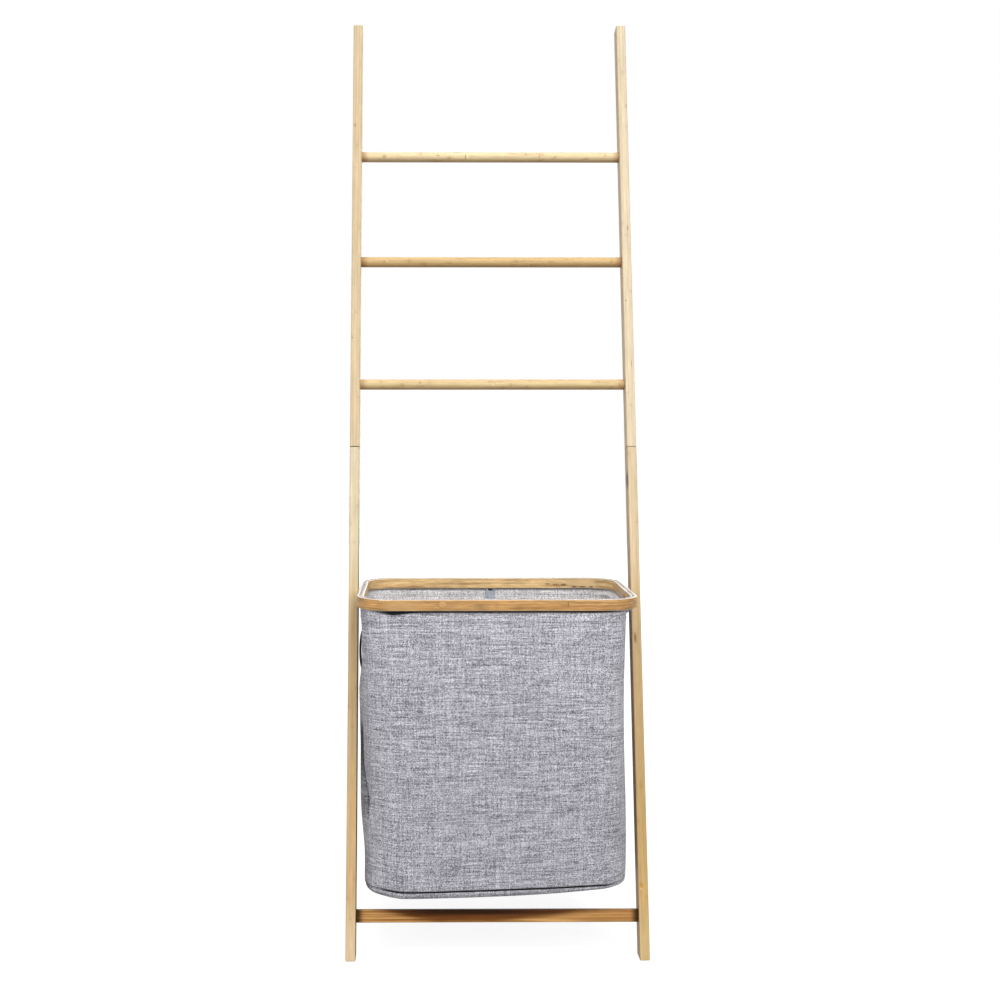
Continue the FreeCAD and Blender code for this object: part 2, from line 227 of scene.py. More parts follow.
def bamboo(look, places, tones, strips, pitch, streak, marks, seed):
    """Glued strips with streaks, flecks and knuckles. Places are across, through and along the grain."""
    across, depth, along = places
    strip_width, strip_depth = strips
    column_place = look.math("DIVIDE", across, strip_width)
    column = look.math("FLOOR", column_place)
    layer = look.math("FLOOR", look.math("DIVIDE", depth, strip_depth))
    first = look.chance(column, layer, seed)
    second = look.chance(column, layer, seed + 7.0)
    pale, warm, green = tones
    tone = look.stained(look.mix(first, pale, warm), (second, 0.7, green))

    run = look.plus(along, look.times(first, 3.0))
    parts = (across, depth, run)
    streaks = look.grain(parts, streak_rates, 3.0)
    fibres = look.grain(parts, fibre_rates)
    clouds = look.grain(parts, cloud_rates)
    flecks = look.smooth(look.grain(parts, fleck_rates, 1.0), 0.62, 0.78)
    uneven = ((streaks, 0.55 * streak), (fibres, 0.35 * streak), (clouds, 0.35 * streak))
    tone = look.shade(tone, look.total(1.0 - 0.62 * streak, *uneven))

    turn = look.plus(look.math("DIVIDE", run, pitch), look.times(second, 5.0))
    from_knuckle = look.times(look.away(look.math("FRACT", turn), 0.5), pitch)
    from_knuckle = look.total(from_knuckle, (look.plus(streaks, -0.5), knuckle_wobble))
    knuckle = look.smooth(from_knuckle, *knuckle_span)
    halo = look.smooth(from_knuckle, *halo_span)
    glue_line = look.smooth(look.away(look.math("FRACT", column_place), 0.5), *glue_line_span)

    tone = look.stained(tone, (flecks, 0.34 * marks, fleck_tone), (knuckle, 0.38 * marks, fleck_tone),
                        (look.times(halo, fibres), 0.30 * marks, fleck_tone), (glue_line, 0.24, fleck_tone))
    look.bump(look.total(0.0, (fibres, 0.5), (knuckle, 0.6), (glue_line, -0.6)), grain_relief)
    look.set(roughness=look.total(0.36, (fibres, 0.22)), specular_ior_level=wood_gloss)
    return tone


def marked(look, tone, spots):
    """Knots, stains and painted glints: each has its centre and radii in millimetres, its tone and its strength.
    """
    for centre, radii, stain, strength in spots:
        mask = look.spot([x * mm for x in centre], [r * mm for r in radii])
        tone = look.stained(tone, (mask, strength, stain))
    return tone


def leaned(look):
    """X, the depth behind the rails' front, and the height along the rails."""
    shift = (0, -foot_front * math.cos(lean), -foot_front * math.sin(lean))
    return look.split(look.add("ShaderNodeMapping", look.place, shift, (lean, 0, 0)).outputs[0])


def near_rails(look, x, full):
    """Rises from 0 a little way off the rails to 1 at a distance from them."""
    return look.smooth(look.away(x), rail_inner - 15 * mm, rail_inner - full)


# Each rail's tint at its foot and at its top, how dark its end is at the splice, and its knots and stains
rails = {
    "left_upper_rail": ((0.91, 0.895, 0.93), (0.91, 0.895, 0.93), 0.9, (
        ((-243.9, 125.4, 1408.9), (1.8, 8, 5), knot_tone, 0.75),
        ((-245.2, 36.3, 1023.0), (2.6, 8, 3), fleck_tone, 0.6),
    )),
    "right_upper_rail": ((0.98, 1.04, 1.16), (0.98, 1.04, 1.16), 0.5, (
        ((245.6, 133.8, 1445.4), (1.8, 8, 7), fleck_tone, 0.6),
        ((242.5, 81.7, 1219.8), (2.4, 8, 7), knot_tone, 0.5),
        ((236.1, 51.6, 1089.1), (2.8, 8, 2.2), fleck_tone, 0.7),
        ((243.2, 25.7, 977.1), (1.6, 8, 10), fleck_tone, 0.55),
    )),
    "left_lower_rail": ((0.90, 0.865, 0.88), (0.955, 1.03, 1.15), 0.9, ()),
    "right_lower_rail": ((0.78, 0.70, 0.53), (0.895, 0.885, 0.94), 0.5, (
        ((237.2, -81.8, 511.4), (3.0, 9, 13), knot_tone, 0.95),
        ((236.8, -172.8, 117.0), (4.8, 9, 7.5), (0.45, 0.21, 0.04), 0.85),
        ((236.4, -173.8, 112.0), (2.4, 8, 2.2), (0.80, 0.56, 0.26), 0.6),
        ((231.6, -18.0, 776.0), (1.1, 30, 22), (0.06, 0.04, 0.03), 0.9),
    )),
}
# Painted shade on each lower rail beside the bag, where the bag keeps light off it; the right one is painted less
# dark, making up for the fill light that the bag blocks there
bag_side_shade_tints = {"left": (0.85, 0.75, 0.60), "right": (0.90, 0.83, 0.71)}
# Painted shade on each rail's inner face beside the bag: its strength and its tone
inner_face_shades = {"left": (0.9, (0.05, 0.035, 0.02)), "right": (0.5, (0.20, 0.105, 0.045))}
rail_tones = ((0.72, 0.565, 0.355), (0.68, 0.515, 0.33), (0.64, 0.52, 0.28))
worn_tone = (0.50, 0.34, 0.165)
splice_tone = (0.05, 0.03, 0.015)
rail_strips = (5.7 * mm, 15.5 * mm)
rail_knuckle_pitch = 0.31
rail_middle = (rail_outer - rail_inner) / 2 + strip_margin
worn_edge_span = (6.0 * mm, 8.3 * mm)
splice_span = (1.1 * mm, 0.5 * mm)

# Where looks and painted shade change along the rails
tint_span = (0.15, 0.70)
bag_shade_foot_span = (0.02, 0.12)
bag_shade_top_span = (0.70, 0.56)
inner_shade_span = (0.80, 0.60)


def rail_finish(name, seed):
    """Pale strips with eased edges that have darkened, browner beside the bag by painted shade, and painted shade
    on their inner faces.
    """
    look = Look(name + "_bamboo")
    x, depth, along = leaned(look)
    foot_tint, top_tint, splice_strength, spots = rails[name]
    hand = name.split("_")[0]
    start = -rail_outer if hand == "left" else rail_inner
    across = look.plus(x, strip_margin - start)
    places = (across, look.plus(depth, strip_margin), along)
    tone = bamboo(look, places, rail_tones, rail_strips, rail_knuckle_pitch, streak=1.0, marks=0.4, seed=seed)

    tone = look.shade(tone, look.mix(look.smooth(along, *tint_span), foot_tint, top_tint))
    # Painted shade beside the bag, fading out towards the foot and up towards the rim
    beside_bag_shade = look.times(look.smooth(along, *bag_shade_top_span), look.smooth(along, *bag_shade_foot_span))
    tone = look.shade(tone, look.mix(beside_bag_shade, white, bag_side_shade_tints[hand]))
    edge = look.smooth(look.away(across, rail_middle), *worn_edge_span)
    # Painted shade on the inner faces low on the rails, where the bag keeps light off them
    inward = look.times(look.split(look.facing)[0], -math.copysign(1, start))
    inner_face_shade = look.times(look.smooth(inward, 0.6, 0.9), look.smooth(along, *inner_shade_span))
    cut_end = look.smooth(look.away(along, splice_along), *splice_span)
    tone = look.stained(tone, (edge, 0.35, worn_tone), (inner_face_shade, *inner_face_shades[hand]),
                        (cut_end, splice_strength, splice_tone))
    look.set(base_color=marked(look, tone, spots))
    return look.material


# Each rung's tones, how dark the painted shade at its ends is, and its knots, stains and painted glints
rungs = {
    "top_towel_rung": (((0.85, 0.67, 0.43), (0.78, 0.58, 0.35), (0.77, 0.65, 0.37)), 0.65, (
        ((-191, 118.6, 1352), (6, 8, 6), fleck_tone, 0.45),
        ((-94.6, 118.6, 1354), (5, 8, 2.0), knot_tone, 0.6),
        ((-45.3, 118.6, 1352), (1.6, 9, 9), fleck_tone, 0.6),
        ((-41.0, 118.6, 1352), (1.4, 9, 9), glint_tone, 0.5),
        ((87.8, 118.6, 1352), (2.0, 9, 8), fleck_tone, 0.4),
        ((206.3, 118.6, 1354), (4, 8, 3), knot_tone, 0.35),
    )),
    "middle_towel_rung": (((0.66, 0.44, 0.21), (0.59, 0.375, 0.17), (0.62, 0.46, 0.21)), 0.85, (
        ((-190, 74.1, 1159), (4, 8, 3), knot_tone, 0.4),
        ((-186, 74.1, 1160), (1.8, 8, 1.8), glint_tone, 0.6),
        ((213, 74.1, 1159), (5, 8, 4), fleck_tone, 0.4),
    )),
    "lower_towel_rung": (((0.72, 0.51, 0.285), (0.65, 0.445, 0.235), (0.65, 0.51, 0.26)), 0.55, (
        ((-127, 23.7, 944), (3.5, 8, 2.0), knot_tone, 0.6),
        # A painted glint
        ((1.0, 23.7, 940), (1.8, 8, 2.2), (0.95, 0.86, 0.7), 0.7),
    )),
}
# Painted shade where the rungs enter the rails and on their undersides; the blotches share the undersides' tone
rung_end_shade_tone = (0.36, 0.18, 0.07)
underside_shade_and_blotch_tone = (0.40, 0.215, 0.085)
rung_strips = (7.3 * mm, 6.1 * mm)
rung_knuckle_pitch = 0.19


def rung_finish(name, seed):
    """Round bars of thinner strips with brown blotches, browner by painted shade on their undersides and where
    they enter the rails.
    """
    look = Look(name + "_bamboo")
    x, depth, along = leaned(look)
    tones, end_shade_strength, spots = rungs[name]
    places = (look.plus(depth, strip_margin), look.plus(along, strip_margin), x)
    tone = bamboo(look, places, tones, rung_strips, rung_knuckle_pitch, streak=1.0, marks=0.75, seed=seed)
    downward = look.times(look.split(look.facing)[2], -1.0)
    blotch = look.smooth(look.grain((x, depth, along), (38.0, 150.0, 150.0), 3.0), 0.56, 0.70)
    ends = near_rails(look, x, 2 * mm)
    # Painted shade on the underside and at the ends by the rails; the blotches are stains
    tone = look.stained(tone, (look.smooth(downward, 0.25, 0.8), 0.5, underside_shade_and_blotch_tone),
                        (blotch, 0.4, underside_shade_and_blotch_tone), (ends, end_shade_strength, rung_end_shade_tone))
    look.set(base_color=marked(look, tone, spots))
    return look.material


stretcher_tones = ((0.42, 0.215, 0.075), (0.31, 0.145, 0.045), (0.38, 0.20, 0.06))
gold_tone = (0.66, 0.37, 0.13)
red_tone = (0.15, 0.05, 0.012)
# Painted shadow of the bag along the top, with a darker upper line, and painted shade along the bottom edge and at
# the ends by the rails
bag_shadow_tone = (0.085, 0.020, 0.002)
bag_shadow_edge_tone = (0.010, 0.003, 0.001)
bottom_edge_shade_tone = (0.13, 0.055, 0.02)
stretcher_end_shade_tone = (0.02, 0.006, 0.002)
stretcher_strips = (3.4 * mm, 9.1 * mm)
stretcher_knuckle_pitch = 0.27
bag_shadow_drop = 19 * mm
bag_shadow_waver = 12 * mm
bag_shadow_left_span = (-0.215, -0.10)
bag_shadow_right_span = (0.21, -0.02)


def stretcher_finish(seed):
    """Carbonised strips with a painted shadow of the bag, nearly black along the top of the middle, golden below
    that and near the ends, and painted shade along the bottom edge and at the ends by the rails.
    """
    look = Look("stretcher_bamboo")
    x, depth, along = leaned(look)
    places = (look.plus(along, strip_margin), look.plus(depth, strip_margin), x)
    tone = bamboo(look, places, stretcher_tones, stretcher_strips, stretcher_knuckle_pitch,
                  streak=1.1, marks=0.6, seed=seed)
    parts = (x, depth, along)
    gold = look.smooth(look.grain(parts, (6.0, 300.0, 420.0), 3.0), 0.52, 0.66)
    red = look.smooth(look.grain(parts, (5.0, 300.0, 520.0), 3.0), 0.48, 0.36)
    waver = look.plus(look.grain(parts, (14.0, 60.0, 200.0), 3.0), -0.5)

    tall = stretcher_high.z - stretcher_low.z
    height = look.plus(look.split(look.place)[2], -stretcher_low.z)
    # Painted shadow of the bag: deepest in the middle, with a wavering lower edge; painted shade along the bottom
    # edge and at the ends
    middle = look.times(look.smooth(x, *bag_shadow_left_span), look.smooth(x, *bag_shadow_right_span))
    over_edge = look.total(look.plus(height, -tall), (middle, bag_shadow_drop), (waver, bag_shadow_waver))
    bag_shadow = look.smooth(over_edge, -4 * mm, 7 * mm)
    top_shadow_line = look.times(look.smooth(height, tall - 11 * mm, tall - 4 * mm), middle)
    bottom_edge_shade = look.smooth(height, 2.6 * mm, 0.8 * mm)
    ends = near_rails(look, x, 3 * mm)
    tone = look.stained(tone, (gold, 0.75, gold_tone), (red, 0.75, red_tone), (bag_shadow, 0.85, bag_shadow_tone),
                        (top_shadow_line, 0.9, bag_shadow_edge_tone), (bottom_edge_shade, 0.6, bottom_edge_shade_tone),
                        (ends, 0.9, stretcher_end_shade_tone))
    look.set(base_color=tone, specular_ior_level=0.04)
    return look.material


hoop_wall = 11 * mm
hoop_front = hoop_low.y / mm
hoop_back = (hoop_high.y - hoop_wall) / mm
# Each hoop's light and dark tones, and its knots and stains
hoops = {
    "outer_hoop": ((0.60, 0.36, 0.145), (0.40, 0.20, 0.065), (
        ((-155, hoop_front, 583), (52, 8, 16), (0.68, 0.42, 0.18), 0.5),
        ((-91, hoop_front, 584.6), (10.5, 6, 8.2), (0.34, 0.15, 0.045), 0.7),
        ((-90, hoop_front, 585.2), (8.0, 6, 6.2), (0.72, 0.46, 0.22), 0.95),
        ((-90, hoop_front, 585.0), (5.0, 6, 3.9), (0.36, 0.16, 0.05), 0.75),
        ((-90, hoop_front, 585.2), (2.6, 6, 2.0), (0.66, 0.42, 0.20), 0.8),
        ((111, hoop_front, 584.5), (1.5, 5, 7.5), knot_tone, 0.95),
    )),
    # The inner hoop's tones are lighter than the outer's: partly its own colour, partly painted light on its
    # inside, which lies in the bag's shade
    "inner_hoop": ((0.74, 0.53, 0.27), (0.60, 0.38, 0.165), (
        ((172, hoop_back, 583), (52, 8, 14), (0.78, 0.56, 0.30), 0.75),
        ((104, hoop_back, 582), (7, 6, 2.4), knot_tone, 0.8),
        ((118, hoop_back, 581), (10, 6, 2.4), knot_tone, 0.85),
        ((133, hoop_back, 580.5), (8, 6, 3.0), char_tone, 0.8),
        ((152, hoop_back, 577), (8, 6, 2.2), char_tone, 0.9),
        ((167, hoop_back, 576.8), (10, 6, 2.0), char_tone, 0.85),
        ((183, hoop_back, 576.6), (6, 6, 2.2), char_tone, 0.9),
    )),
}
sawn_and_highlight_tone = (0.92, 0.81, 0.68)
hoop_relief = 0.1 * mm


def hoop_finish(name):
    """Bent strips: streaks run round the hoop, and the sawn faces up and down are paler, partly their own grain
    and partly a painted highlight.
    """
    look = Look(name + "_bamboo")
    light, dark, spots = hoops[name]
    parts = look.split(look.place)
    streaks = look.smooth(look.grain(parts, (5.0, 5.0, 420.0), 3.0), 0.32, 0.68)
    fibres = look.grain(parts, (34.0, 34.0, 2300.0))
    patches = look.grain(parts, (16.0, 16.0, 60.0))
    mottle = look.grain(parts, (55.0, 55.0, 330.0))
    lines = look.smooth(look.grain(parts, (10.0, 10.0, 300.0)), 0.55, 0.68)
    flecks = look.smooth(look.grain(parts, (120.0, 120.0, 2600.0), 1.0), 0.66, 0.8)
    tone = look.mix(streaks, light, dark)
    tone = look.shade(tone, look.total(-0.54, (fibres, 0.7), (patches, 1.4), (mottle, 1.0)))
    tone = look.stained(tone, (lines, 0.6, knot_tone), (flecks, 0.35, fleck_tone))
    tone = marked(look, tone, spots)
    # Faces turned up or down are paler: partly their sawn grain, partly a painted highlight from the light above
    edge = look.smooth(look.away(look.split(look.facing)[2]), 0.45, 0.85)
    tone = look.mix(edge, tone, look.shade(sawn_and_highlight_tone, look.total(0.85, (fibres, 0.3))))
    look.set(base_color=tone, roughness=look.total(0.34, (fibres, 0.22)), specular_ior_level=wood_gloss)
    look.bump(look.total(fibres, (flecks, -0.5)), hoop_relief)
    return look.material


# Metal, nylon and rubber

def metal_finish(name, tone, roughness):
    """Plated metal with fine turning marks and a few dull patches."""
    look = Look(name)
    parts = look.split(look.place)
    marks = look.grain(parts, (300, 5000, 5000))
    patches = look.grain(parts, (420, 420, 420))
    look.set(base_color=look.shade(tone, look.total(0.8, (patches, 0.4))), metallic=1.0)
    look.set(roughness=look.total(roughness, (marks, 0.25)))
    look.bump(marks, 0.03 * mm)
    return look.material


def moulded_finish(name, tone, roughness):
    """Moulded plastic or rubber with a fine grain and faint scuffs."""
    look = Look(name)
    parts = look.split(look.place)
    pores = look.grain(parts, (2400, 2400, 2400))
    scuffs = look.grain(parts, (160, 160, 700))
    look.set(base_color=look.shade(tone, look.total(0.75, (scuffs, 0.5))))
    look.set(roughness=look.total(roughness, (pores, 0.2)))
    look.bump(pores, 0.05 * mm)
    return look.material


def give(material, *names):
    for name in names:
        mesh = frame["nodes"][name].data
        mesh.materials.clear()
        mesh.materials.append(material)


for index, name in enumerate(rails):
    give(rail_finish(name, 11.0 * index + 3.0), name)
for index, name in enumerate(rungs):
    give(rung_finish(name, 13.0 * index + 5.0), name)
give(stretcher_finish(41.0), "bottom_stretcher")
for name in hoops:
    give(hoop_finish(name), name)
give(metal_finish("zinc_steel", (0.62, 0.62, 0.63), 0.22),
     "rung_screws", "stretcher_screws", "splice_studs", "pivot_bolts", "pivot_sleeve_nuts", "hoop_screws")
give(metal_finish("turned_brass", (0.72, 0.53, 0.25), 0.25), "splice_inserts")
give(moulded_finish("natural_nylon", (0.80, 0.78, 0.72), 0.35), "pivot_spacers")
give(moulded_finish("grey_rubber", (0.15, 0.15, 0.15), 0.7), "left_foot_pad", "right_foot_pad", "wall_pads")


# Woven finishes, laid on the cloth in metres by the pieces' own coordinates

thread_pitch = 1.15 * mm
tape_pitch = 0.8 * mm
webbing_pitch = 2.1 * mm
sewing_pitch = 0.5 * mm
slub_rate = 25.0
# Painted light: the cloth is painted lighter from near the floor up to the rim, and lighter again near the hem
painted_light_span = (floor_z + 50 * mm, rim_z)
hem_light_span = (rim_z - 26 * mm, rim_z - 16 * mm)


def woven_finish(name, tones, pitch, weft_contrast, warp_contrast):
    """A plain weave of uneven threads: each thread has its own tone, which drifts along it."""
    look = Look(name)
    u, v = look.weave()
    warp_place = look.math("DIVIDE", u, pitch)
    weft_place = look.math("DIVIDE", v, pitch)
    warp = look.math("FLOOR", warp_place)
    weft = look.math("FLOOR", weft_place)
    warp_tone = look.grain((warp, v, 3.7), (5.77, slub_rate, 1.0), 0.0)
    weft_tone = look.grain((u, weft, 0.0), (slub_rate, 7.31, 1.0), 0.0)
    crossing = look.chance(warp, weft, 1.0)
    cloud = look.grain((u, v, 9.1), (26.0, 26.0, 1.0))
    uneven = ((warp_tone, warp_contrast), (weft_tone, weft_contrast), (crossing, 0.78), (cloud, 0.05))
    value = look.total(0.5, *((look.plus(part, -0.5), contrast) for part, contrast in uneven))
    ramp = look.add("ShaderNodeValToRGB", value)
    ramp.color_ramp.elements.new(0.5)
    for element, tone in zip(ramp.color_ramp.elements, tones):
        element.color = (*tone, 1.0)

    wave_u = look.ripple(warp_place, math.pi)
    wave_v = look.ripple(weft_place, math.pi)
    over = look.math("GREATER_THAN", look.math("FRACT", look.times(look.plus(warp, weft), 0.5)), 0.25)
    grooves = look.times(wave_u, wave_v)
    tone = look.shade(ramp.outputs[0], look.total(0.86, (grooves, 0.3)))
    up = look.split(look.place)[2]
    # Painted light, growing towards the rim; the top of the wall by the hem is lighter still
    painted_light_upward = look.smooth(up, *painted_light_span)
    hem_light = look.smooth(up, *hem_light_span)
    tone = look.shade(tone, look.total(0.935, (painted_light_upward, 0.15), (hem_light, 0.09)))
    # Painted shade under the rim, in the crease and in the bottom seam, read from the bag's points
    crevice_shade = look.add("ShaderNodeAttribute", attribute_name="crevice_shade").outputs["Fac"]
    look.set(base_color=look.shade(tone, look.total(1.0, (crevice_shade, -0.95))))
    look.set(roughness=0.92, sheen_weight=0.12, sheen_roughness=0.5, specular_ior_level=0.25)
    look.bump(look.plus(look.mix(over, wave_u, wave_v), grooves), 0.18 * mm, 0.7)
    return look.material


def ribbed_finish(name, tone, pitch):
    """Narrow webbing: ribs along it and a fine herringbone across."""
    look = Look(name)
    u, v = look.weave()
    rib = look.ripple(u, math.pi / pitch)
    pick = look.ripple(look.total(v, (u, 0.6)), 2 * math.pi / pitch)
    lint = look.grain((u, v, 2.0), (700.0, 700.0, 1.0))
    weave = look.times(rib, pick)
    look.set(base_color=look.shade(tone, look.total(0.0, (weave, 0.9), (lint, 0.7))))
    look.set(roughness=0.75, sheen_weight=0.1, sheen_roughness=0.4)
    look.bump(look.plus(weave, rib), 0.2 * mm, 0.8)
    return look.material


melange = ((0.09, 0.09, 0.105), (0.375, 0.37, 0.41), (0.78, 0.77, 0.83))
# The inside's tones, paler than the outside's: partly a coating on the lining, partly painted light inside the bag
coated_and_lit = ((0.25, 0.244, 0.25), (0.575, 0.565, 0.575), (0.90, 0.885, 0.90))
tape = ((0.13, 0.155, 0.19), (0.33, 0.37, 0.43), (0.55, 0.58, 0.63))
bag_cloth_finish = woven_finish("grey_melange", melange, thread_pitch, 0.92, 0.5)
bag_lining_lit_finish = woven_finish("coated_lit_inside", coated_and_lit, thread_pitch, 0.8, 0.5)
tab_cloth_finish = woven_finish("grey_blue_tape", tape, tape_pitch, 0.8, 0.6)
webbing_finish = ribbed_finish("black_webbing", (0.009, 0.009, 0.010), webbing_pitch)
grey_thread_finish = ribbed_finish("grey_thread", (0.52, 0.52, 0.56), sewing_pitch)
black_thread_finish = ribbed_finish("black_thread", (0.05, 0.05, 0.055), sewing_pitch)


# Mesh helpers

def bands(ring_count, size, first=0, wrapped=False):
    """The faces between closed rings of points that follow each other, with their ring and place in it."""
    for ring in range(ring_count if wrapped else ring_count - 1):
        here = first + ring * size
        there = first + (ring + 1) % ring_count * size
        for i in range(size):
            after = (i + 1) % size
            yield ring, i, (here + i, here + after, there + after, there + i)


def rectangle(left, right, low, high):
    """Weave coordinates for one face of a band."""
    return ((left, low), (right, low), (right, high), (left, high))


class Shape:
    """A mesh in the making: points, faces, and weave coordinates in metres for each corner of each face."""

    def __init__(self, points=()):
        self.points = list(points)
        self.faces = []
        self.weave = []

    def face(self, corners, weave):
        self.faces.append(tuple(corners))
        self.weave.extend(weave)

    def tube(self, rings, across, along, way=1, wrapped=False):
        """Closed rings joined by bands, with weave coordinates across and along them. The ends are closed
        unless the last ring is joined to the first. A way of -1 turns the faces round."""
        first = len(self.points)
        size = len(rings[0])
        self.points.extend(point for ring in rings for point in ring)
        for k, i, face in bands(len(rings), size, first, wrapped):
            self.face(face[::way], rectangle(across[i], across[i + 1], along[k], along[k + 1])[::way])
        if not wrapped:
            for k, turn in ((0, -way), (len(rings) - 1, way)):
                start = first + k * size
                self.face(range(start, start + size)[::turn], [(u, along[k]) for u in across[:size]][::turn])

    def piece(self, name, material):
        """The finished smooth mesh as an object in the scene."""
        mesh = bpy.data.meshes.new(name)
        mesh.from_pydata([tuple(p) for p in self.points], [], self.faces)
        layer = mesh.uv_layers.new(name="weave")
        layer.data.foreach_set("uv", np.array(self.weave, dtype=np.float32).reshape(-1))
        mesh.polygons.foreach_set("use_smooth", [True] * len(mesh.polygons))
        mesh.materials.append(material)
        mesh.update()
        piece = bpy.data.objects.new(name, mesh)
        bpy.context.scene.collection.objects.link(piece)
        return piece


def soft(value, low, high):
    """Rises softly from 0 at low to 1 at high."""
    t = np.clip((value - low) / (high - low), 0.0, 1.0)
    return t * t * (3 - 2 * t)


def window(value, low, full_low, full_high, high):
    """Rises softly from 0 at low to 1 at full_low, and falls from 1 at full_high to 0 at high."""
    return soft(value, low, full_low) * soft(high - value, 0.0, high - full_high)


def hump(value, centre, width):
    return np.exp(-((value - centre) / width) ** 2)


# Bag: one lofted shell, from the hem between the hoops down to the base

hem_corner = 53.4 * mm
base_corner = 44.0 * mm
base_half_width = 214.0 * mm
base_half_depth = 138.0 * mm
cloth_inset = 0.25 * mm
cloth_thickness = 1.8 * mm
hem_top_z = hem_high.z - 0.4 * mm
corner_steps = 60
front_steps = 86
side_steps = 48


def loop(half_x, half_y, radius):
    """A rounded outline about the pivot line, from the right front corner: its points and its ways out."""
    centres = np.array(((1, -1), (1, 1), (-1, 1), (-1, -1))) * (half_x - radius, half_y - radius)
    points = []
    outward = []
    for index, steps in enumerate((side_steps, front_steps) * 2):
        turns = np.append(np.arange(corner_steps) / corner_steps - 1, np.zeros(steps))
        shares = np.append(np.zeros(corner_steps), np.arange(steps) / steps)
        angles = (index + turns) * math.pi / 2
        ways = np.column_stack((np.cos(angles), np.sin(angles)))
        straight = centres[(index + 1) % 4] - centres[index]
        points.append(centres[index] + ways * radius + shares[:, None] * straight)
        outward.append(ways)
    return np.vstack(points), np.vstack(outward)


top_points, top_ways = loop(hem_half_width, hem_half_depth, hem_corner)
base_points, base_ways = loop(base_half_width, base_half_depth, base_corner)
column_count = len(top_points)
top_x = top_points[:, 0]
right_way, back_way = np.clip(top_ways, 0, 1).T
left_way, front_way = np.clip(-top_ways, 0, 1).T
flat_part = np.maximum(front_way, back_way) ** 6

# How far round the hem each column is, and how far forwards from the front end of each gusset's straight
steps_round = np.linalg.norm(np.roll(top_points, -1, axis=0) - top_points, axis=1)
around = np.append(0.0, np.cumsum(steps_round))
total_run = around[-1]
left_corner = 3 * corner_steps + 2 * side_steps + front_steps
front_middle = left_corner + corner_steps + front_steps // 2
left_run = around[:-1] - around[left_corner]
right_run = hem_corner * math.pi / 2 - around[:-1]
right_run = np.where(right_run < -total_run / 2, right_run + total_run, right_run)

# Puffs and tucks up the left gusset: how far each stands out in mm, its height and its reach
left_tucks = ((4.0, 0.116, 0.040), (-1.6, 0.542, 0.022), (-1.1, 0.495, 0.030))
# Fine lines on the front: height in mm, slopes along X and Z, spacing, and place and reach along X and Z
drag_lines = (
    (0.55, 0.7, 1.0, 27 * mm, (-0.190, 0.035), (0.36, 0.085)),
    (0.35, 0.6, -1.0, 31 * mm, (0.180, 0.030), (0.33, 0.09)),
    (1.4, 0.8, 1.1, 11 * mm, (-0.140, 0.020), (0.555, 0.011)),
)
# Where the front gapes from the rim, along X, and where its slack starts
gape_span = (-0.168, 0.022)
slack_span = (-0.205, -0.182)
# Where the fell seams run, forwards from each gusset's straight, and their width
fell_seam = (38 * mm, 1.8 * mm)


def crease_run(z):
    """Where the left gusset is creased, measured forwards from the front end of its straight."""
    return 26 * mm - 34 * mm * soft(z, 0.25, 0.345)


def crease_depth(z):
    return window(z, 0.205, 0.245, 0.360, 0.395)


def left_swell(z):
    """The left gusset bulges behind a crease and a fold at its front corner."""
    crease = crease_run(z)
    behind = window(left_run, -150 * mm, -20 * mm, crease - 30 * mm, crease)
    swell = 7.4 * mm * behind * window(z, 0.115, 0.25, rim_z - 150 * mm, rim_z - 75 * mm)
    swell -= 9.0 * mm * hump(left_run, crease, 4.2 * mm) * crease_depth(z)
    corner = 25 * mm + 19 * mm * soft(z, 0.19, 0.285)
    fold = hump(left_run, corner, 4.0 * mm) * window(z, 0.165, 0.21, 0.295, 0.345)
    swell += 2.2 * mm * fold
    for amount, height, reach in left_tucks:
        swell += amount * mm * hump(z, height, reach) * left_way ** 2
    return swell


def right_swell(z):
    """The right gusset hangs drawn in, with a dent at its front corner and a bulge behind that."""
    drawn = window(z, 0.125, 0.47, rim_z - 11 * mm, rim_z - 1.5 * mm)
    dent = hump(right_run, -5 * mm, 8 * mm) * hump(z, 0.290, 0.050)
    bulge = hump(right_run, -25 * mm, 22 * mm) * hump(z, 0.258, 0.030)
    return 2.5 * mm * bulge - 3.0 * mm * dent - 13.2 * mm * drawn * right_way ** 2


def front_swell(z):
    """The front panel: slack under the rim, puckers by the hem and drag lines beside the corners."""
    below = rim_z - z
    gape = hump(top_x, *gape_span)
    slack = (6.0 + 5.0 * gape) * mm * soft(top_x, *slack_span)
    belly = np.sin(math.pi * np.clip((z - seam_z) / (rim_z - seam_z), 0, 1))
    waves = np.sin(top_x * 31 + z * 17) * np.sin(z * 23 + 1.0) * soft(below, 0.0, 50 * mm)
    corner_puff = hump(below, 5 * mm, 9 * mm) * hump(top_x, -0.215, 0.020)
    front = -slack * hump(below, (1.8 + 1.6 * gape) * mm, (2.4 + 2.2 * gape) * mm)
    front += 2.4 * mm * corner_puff + 1.6 * mm * belly + 0.9 * mm * waves
    for amount, slope_x, slope_z, spacing, place, height in drag_lines:
        lines = np.sin((top_x * slope_x + z * slope_z) * 2 * math.pi / spacing)
        front += amount * mm * lines * hump(top_x, *place) * hump(z, *height)
    return front


def back_swell(z):
    """The back panel: full under the rim and gently waved below."""
    below = rim_z - z
    waves = np.sin(top_x * 27 + 0.7) * np.sin(z * 21) * soft(below, 0.0, 80 * mm)
    return 1.5 * mm * waves + 3.5 * mm * hump(below, 2.5 * mm, 3.5 * mm)


def seam_ridges(z):
    """Fell seams down the four corners, nearly flat where the front ones are creased."""
    side_straight = 2 * (hem_half_depth - hem_corner)
    pressed = 1 - 0.8 * hump(z, 0.26, 0.07)
    ridges = 0.0
    for run in (left_run, right_run):
        ridges += hump(run, *fell_seam) * pressed + hump(-run - side_straight, *fell_seam)
    return 0.7 * mm * ridges


